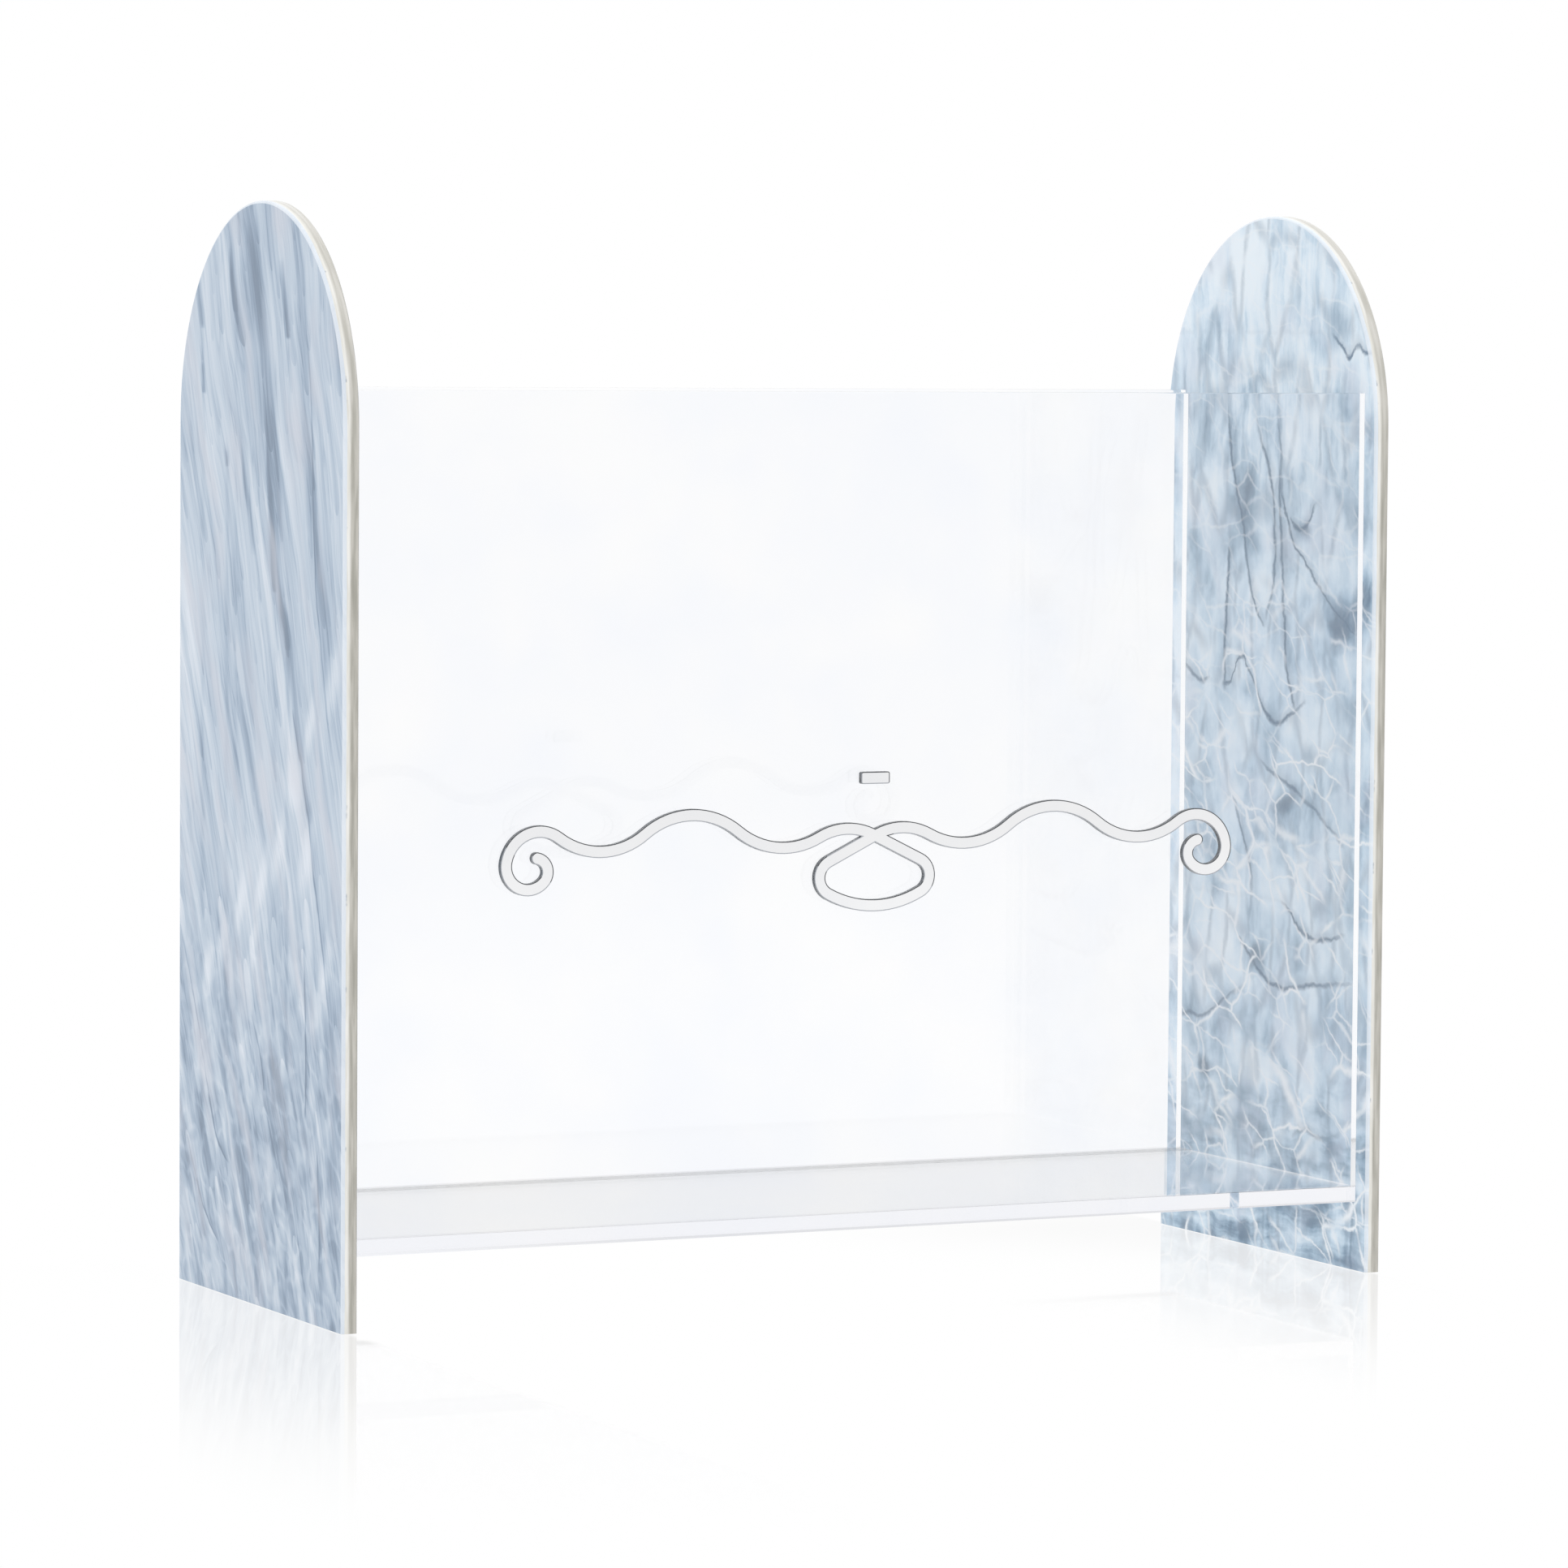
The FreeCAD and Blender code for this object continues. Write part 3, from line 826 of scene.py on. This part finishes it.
def cut_mirror(name, light, dark, roughness, metallic):
    """One finish of laser-cut mirror acrylic, slightly clouded in patches of about 17 mm."""
    material, tree = new_material(name)
    place = add(tree, "ShaderNodeTexCoord").outputs["Object"]
    haze = add(tree, "ShaderNodeTexNoise", {"Vector": place, "Scale": 60.0, "Detail": 2.0}).outputs[0]
    tone = add(
        tree,
        "ShaderNodeMix",
        {0: haze, 6: colour(light), 7: colour(dark)},
        data_type="RGBA",
    ).outputs[2]
    shader = add(
        tree,
        "ShaderNodeBsdfPrincipled",
        {
            "Base Color": tone,
            "Metallic": metallic,
            "Roughness": span(tree, haze, 0.3, 0.7, roughness, roughness + 0.04),
        },
    )
    finish_material(tree, shader)
    return material


# ---------------------------------------------------------------- pieces


def cut_sheet(name, outline, x_low, x_high):
    """A flat sheet with this outline in (y, z), standing between two places along x."""
    mesh = bpy.data.meshes.new(name)
    shape = bmesh.new()
    low_ring = [shape.verts.new((x_low, y, z)) for y, z in outline]
    high_ring = [shape.verts.new((x_high, y, z)) for y, z in outline]
    shape.faces.new(low_ring)
    shape.faces.new(list(reversed(high_ring)))
    count = len(outline)
    for here in range(count):
        after = (here + 1) % count
        shape.faces.new((low_ring[after], low_ring[here], high_ring[here], high_ring[after]))
    bmesh.ops.recalc_face_normals(shape, faces=shape.faces)
    return mesh, shape


def finish_sheet(mesh, shape, rounded, ease, steps, material_numbers):
    """Rounds the chosen edges, shades the sheet and adds it to the scene."""
    weights = shape.edges.layers.float.new("bevel_weight_edge")
    for edge in shape.edges:
        edge[weights] = 1.0 if rounded(edge) else 0.0
    for face in shape.faces:
        face.smooth = True
        face.material_index = material_numbers(face)
    shape.to_mesh(mesh)
    shape.free()
    mesh.set_sharp_from_angle(angle=CREASE)
    piece = bpy.data.objects.new(mesh.name, mesh)
    bpy.context.scene.collection.objects.link(piece)
    bevel = piece.modifiers.new("rounded edges", "BEVEL")
    bevel.limit_method = "WEIGHT"
    bevel.width = ease
    bevel.segments = steps
    bevel.harden_normals = True
    bevel.material = len(mesh.materials) - 1
    return piece


def make_side(node, materials):
    """One arched side: a square foot, upright edges and a half-round head."""
    low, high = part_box(node)
    radius = (high.y - low.y) / 2
    centre_y = (high.y + low.y) / 2
    spring = high.z - radius
    outline = [(high.y, low.z)]
    for step in range(ARCH_STEPS + 1):
        angle = math.pi * step / ARCH_STEPS
        outline.append((centre_y + radius * math.cos(angle), spring + radius * math.sin(angle)))
    outline.append((low.y, low.z))
    mesh, shape = cut_sheet("marble_" + node.replace("_panel", ""), outline, low.x, high.x)
    for material in materials:
        mesh.materials.append(material)

    def rim(edge):
        first, second = edge.verts
        runs_round = abs(first.co.x - second.co.x) < TOUCHING
        at_foot = max(first.co.z, second.co.z) < low.z + TOUCHING
        return runs_round and not at_foot

    def number(face):
        if face.normal.x < -0.5:
            return 0
        return 1 if face.normal.x > 0.5 else 2

    piece = finish_sheet(mesh, shape, rim, SIDE_EDGE_ROUND, 5, number)
    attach(piece, "root")
    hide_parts(node)


def make_clear_sheet(node, material, z_low):
    """One clear sheet of the tray, with its upper long edges eased if they are open to the air."""
    low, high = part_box(node)
    outline = [(low.y, z_low), (high.y, z_low), (high.y, high.z), (low.y, high.z)]
    mesh, shape = cut_sheet("clear_" + node, outline, low.x + END_GAP, high.x - END_GAP)
    mesh.materials.append(material)

    def open_top(edge):
        first, second = edge.verts
        is_long = abs(first.co.x - second.co.x) > 0.1
        return is_long and min(first.co.z, second.co.z) > high.z - TOUCHING and node != "floor_panel"

    piece = finish_sheet(mesh, shape, open_top, CLEAR_EDGE_EASE, 3, lambda face: 0)
    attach(piece, "root")
    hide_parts(node)
    # Soft light falls on the marble as if the sheet weren't there: it neither shades nor tints it.
    piece.visible_diffuse = False


# The finishes of a mirror cutting, by their material number.
FACE, WALL, PAINTED_DARK_REFLECTION, PAINTED_FAINT_REFLECTION, BACK = range(5)
# A face that points this much along y is the front or the back of a cutting.
FLAT_ON = 0.9
# How much a rim that faces right counts beside one that faces up, in which of them get the painted dark
# reflection.
RIGHTWARD = 0.55


def make_mirror_cutting(node, finishes):
    """A cutting of mirror acrylic on the outline of its node, with a fine painted reflection line inside its
    face.
    """
    shape = bmesh.new()
    shape.from_mesh(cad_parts[node].data)
    bmesh.ops.remove_doubles(shape, verts=shape.verts, dist=TOUCHING)
    bmesh.ops.recalc_face_normals(shape, faces=shape.faces)
    for face in shape.faces:
        face.material_index = BACK if face.normal.y > FLAT_ON else WALL
    fronts = [face for face in shape.faces if face.normal.y < -FLAT_ON]
    for face in fronts:
        face.material_index = FACE
    # The rim round each face carries the painted reflection of the cut wall: dark along the upper and
    # right-hand sides, faint along the others.
    rims = bmesh.ops.inset_region(shape, faces=fronts, thickness=PAINTED_RIM_WIDTH, use_even_offset=True)["faces"]
    for face in rims:
        outer = [
            edge for edge in face.edges if any(abs(link.normal.y) < FLAT_ON for link in edge.link_faces)
        ]
        outward = Vector((0, 0, 0))
        if outer:
            outer_middle = (outer[0].verts[0].co + outer[0].verts[1].co) / 2
            outward = outer_middle - face.calc_center_median()
        face.material_index = PAINTED_DARK_REFLECTION if outward.x * RIGHTWARD + outward.z > 0 else PAINTED_FAINT_REFLECTION
        face.smooth = False
    mesh = bpy.data.meshes.new(node.replace("mirror_", "cut_mirror_"))
    shape.to_mesh(mesh)
    shape.free()
    for finish in finishes:
        mesh.materials.append(finish)
    mesh.set_sharp_from_angle(angle=CREASE)
    piece = bpy.data.objects.new(mesh.name, mesh)
    bpy.context.scene.collection.objects.link(piece)
    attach(piece, "root")
    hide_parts(node)


left_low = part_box("left_side_panel")[0]
right_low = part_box("right_side_panel")[0]
streaked_face = polished_marble("streaked marble acrylic", STREAKED)
crackled_face = polished_marble("crackled marble acrylic", CRACKLED)
left_edge = sawn_edge("edge of the left marble sheet", STREAKED, left_low.x / MM)
right_edge = sawn_edge("edge of the right marble sheet", CRACKLED, right_low.x / MM)
make_side("left_side_panel", (streaked_face, crackled_face, left_edge))
make_side("right_side_panel", (crackled_face, streaked_face, right_edge))

clear = clear_acrylic()
floor_low, floor_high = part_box("floor_panel")
make_clear_sheet("floor_panel", clear, floor_low.z)
make_clear_sheet("front_panel", clear, floor_high.z - CEMENT_OVERLAP)
make_clear_sheet("back_panel", clear, floor_high.z - CEMENT_OVERLAP)

# Mirror acrylic is silvered at the back of a clear skin, so its cut wall shows through the face. That is
# painted on as a
# reflection: a dark line along the upper and right-hand sides, and a faint one along the others.
mirror_finishes = (
    cut_mirror("silvered face of the mirror acrylic", "#FFFFFF", "#F4F5F8", 0.02, 1.0),
    cut_mirror("laser cut wall of the mirror acrylic", "#6B6F74", "#4B4F54", 0.25, 0.0),
    cut_mirror("painted dark reflection line of the mirror acrylic", "#4A4D52", "#2F3236", 0.2, 0.0),
    cut_mirror("painted faint reflection line of the mirror acrylic", "#B9BCC2", "#A2A6AD", 0.1, 0.6),
    cut_mirror("pale back paint of the mirror acrylic", "#F2F3F4", "#E6E8EA", 0.4, 0.0),
)
for node in ("mirror_flourish", "mirror_bar"):
    make_mirror_cutting(node, mirror_finishes)


# ---------------------------------------------------------------- studio


def white_studio():
    """A white room that is a little darker on the viewer's side, with a soft light overhead."""
    world = bpy.data.worlds.new("white studio")
    world.use_nodes = True
    tree = world.node_tree
    tree.nodes.clear()
    direction = add(tree, "ShaderNodeTexCoord").outputs["Generated"]
    split = add(tree, "ShaderNodeSeparateXYZ", {0: direction})
    towards_back = split.outputs[1]
    room = span(tree, towards_back, -0.75, 0.1, 0.88, 1.0)
    overhead = span(tree, split.outputs[2], 0.25, 0.8, 0.0, 0.25)
    # A thin grey ledge just over the horizon, which only the tray's floor mirrors.
    low_edge = span(tree, split.outputs[2], 0.104, 0.112)
    high_edge = span(tree, split.outputs[2], 0.1280, 0.1315, 1.0, 0.0)
    strip = add(tree, "ShaderNodeMath", {0: low_edge, 1: high_edge}, operation="MULTIPLY").outputs[0]
    room = add(tree, "ShaderNodeMath", {0: strip, 1: -0.16, 2: room}, operation="MULTIPLY_ADD").outputs[0]
    light = add(tree, "ShaderNodeMath", {0: room, 1: overhead}, operation="ADD").outputs[0]
    background = add(tree, "ShaderNodeBackground", {"Color": colour("#FFFFFF"), "Strength": light})
    add(tree, "ShaderNodeOutputWorld", {"Surface": background.outputs[0]})
    bpy.context.scene.world = world


def studio_floor():
    """A pale polished floor lit from below. Its gloss is strongest along each side's foot and fades
    away from it, as on a buffed sheet that is clean only round the object."""
    bpy.ops.mesh.primitive_plane_add(size=24.0, location=(0, 0, cad_box[0].z - 0.0002))
    floor = bpy.context.object
    floor.name = "studio_floor"
    material, tree = new_material("pale lit floor")
    place = add(tree, "ShaderNodeTexCoord").outputs["Object"]
    split = add(tree, "ShaderNodeSeparateXYZ", {0: place})
    x = split.outputs[0]
    patches = []
    for side in (left_low.x, right_low.x):
        # Seen from the front left, a side's reflection lies outside its foot and well before it.
        beside = add(tree, "ShaderNodeMath", {0: x, 1: -side}, operation="ADD").outputs[0]
        outer = span(tree, beside, -0.18, -0.02, 0.0, 1.0)
        inner = span(tree, beside, 0.0, 0.006, 1.0, 0.0)
        near_foot = add(tree, "ShaderNodeMath", {0: outer, 1: inner}, operation="MULTIPLY").outputs[0]
        before = span(tree, split.outputs[1], -0.55, -0.08, 0.0, 0.30)
        behind = span(tree, split.outputs[1], 0.08, 0.16, 1.0, 0.0)
        patch = add(tree, "ShaderNodeMath", {0: near_foot, 1: before}, operation="MULTIPLY").outputs[0]
        patch = add(tree, "ShaderNodeMath", {0: patch, 1: behind}, operation="MULTIPLY").outputs[0]
        patches.append(patch)
    gloss = strongest(tree, patches)
    glow = span(tree, split.outputs[1], -2.4, -0.9, 0.88, 1.0)
    lit = add(tree, "ShaderNodeEmission", {"Color": colour("#FFFFFF"), "Strength": glow})
    shine = add(tree, "ShaderNodeBsdfGlossy", {"Color": colour("#FFFFFF"), "Roughness": 0.03})
    finish_material(
        tree,
        add(tree, "ShaderNodeMixShader", {0: gloss, 1: lit.outputs[0], 2: shine.outputs[0]}),
    )
    floor.data.materials.append(material)


# Where the camera stands, in metres, and how it is turned, in degrees.
CAMERA_PLACE = (-1.13277, -2.335426, 0.350099)
CAMERA_TURN = 25.8527
CAMERA_TIP = 3.6561
CAMERA_ROLL = 0.3925


def camera():
    """A long lens, about 2.6 m off, turned 26 degrees to the rack and looking slightly down."""
    turn = math.radians(CAMERA_TURN)
    tip = math.radians(CAMERA_TIP)
    roll = math.radians(CAMERA_ROLL)
    forward = Vector((math.sin(turn) * math.cos(tip), math.cos(turn) * math.cos(tip), -math.sin(tip)))
    right = forward.cross(Vector((0, 0, 1))).normalized()
    up = right.cross(forward)
    across = right * math.cos(roll) + up * math.sin(roll)
    upright = up * math.cos(roll) - right * math.sin(roll)
    lens = bpy.data.cameras.new("product camera")
    lens.sensor_width = 36.0
    lens.lens = 160.17
    lens.clip_start = 0.01
    lens.clip_end = 100.0
    eye = bpy.data.objects.new("product_camera", lens)
    bpy.context.scene.collection.objects.link(eye)
    turned = Matrix((across, upright, -forward)).transposed().to_4x4()
    eye.matrix_world = Matrix.Translation(CAMERA_PLACE) @ turned
    bpy.context.scene.camera = eye


white_studio()
studio_floor()
camera()
scene = bpy.context.scene
scene.view_settings.view_transform = "Standard"
scene.cycles.max_bounces = 40
scene.cycles.glossy_bounces = 24
scene.cycles.transmission_bounces = 32
scene.cycles.transparent_max_bounces = 16
